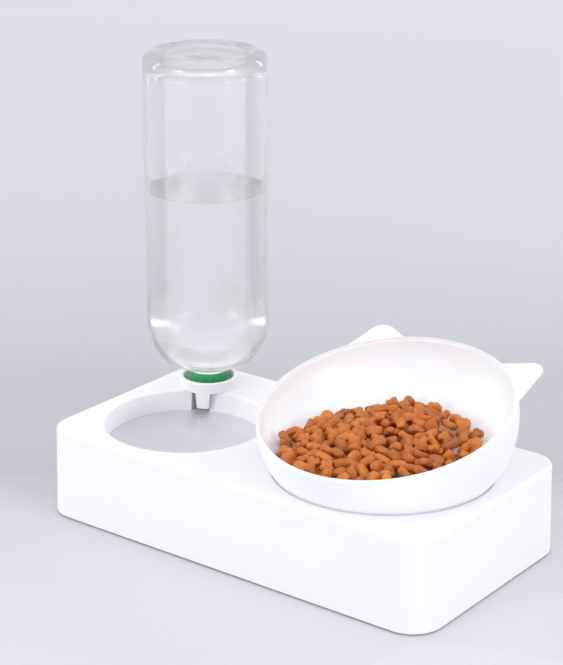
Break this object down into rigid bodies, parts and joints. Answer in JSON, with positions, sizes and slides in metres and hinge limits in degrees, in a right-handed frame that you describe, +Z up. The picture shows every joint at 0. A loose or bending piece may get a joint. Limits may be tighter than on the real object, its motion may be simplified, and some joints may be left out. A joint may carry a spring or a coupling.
{
  "type": "double pet feeder with bottle-fed water basin",
  "caption": "Double pet bowl: a moulded base whose water basin is kept full by an inverted bottle with a spring valve, and a tilted food bowl with ears that lifts out.",
  "frame": {"origin": "on the floor under the middle of the whole feeder's box", "axes": "+X along the base towards the food bowl, +Y to the back, where the bottle stands, +Z up"},
  "size_m": [0.2533, 0.141, 0.245],
  "materials": {
    "base_shell": "white satin moulding",
    "foot": "soft grey rubber",
    "socket": "white satin moulding",
    "plunger": "white moulding",
    "seal": "black rubber",
    "spring": "bright spring wire",
    "clip": "white moulding",
    "valve": "green moulding",
    "gasket": "pale rubber",
    "bottle": "clear blow-moulded plastic",
    "food_bowl": "white gloss moulding"
  },
  "bodies": {
    "base": {"base_housing": "base_shell", "foot_front_left": "foot", "foot_front_right": "foot", "foot_back_left": "foot", "foot_back_right": "foot", "bottle_socket": "socket"},
    "plunger": {"valve_plunger": "plunger", "plunger_seal": "seal", "stem_clip": "clip", "valve_spring": "spring"},
    "valve": {"valve_body": "valve", "neck_gasket": "gasket"},
    "bottle": {"bottle": "bottle"},
    "bowl": {"food_bowl": "food_bowl"}
  },
  "joints": [
    {"name": "bottle_lift", "type": "slide", "parent": "base", "child": "plunger", "axis": [0, 0, 1], "range_m": [0, 0.06]},
    {"name": "valve_close", "type": "slide", "parent": "plunger", "child": "valve", "axis": [0, 0, 1], "range_m": [0, 0.0035], "stiffness_N_per_m": 40, "springref_m": 0.0075, "deforming": ["valve_spring"]},
    {"name": "bottle_unplug", "type": "slide", "parent": "valve", "child": "bottle", "axis": [0, 0, 1], "range_m": [0, 0.02]},
    {"name": "bowl_lift", "type": "slide", "parent": "base", "child": "bowl", "axis": [0, 0, 1], "range_m": [0, 0.06]}
  ]
}
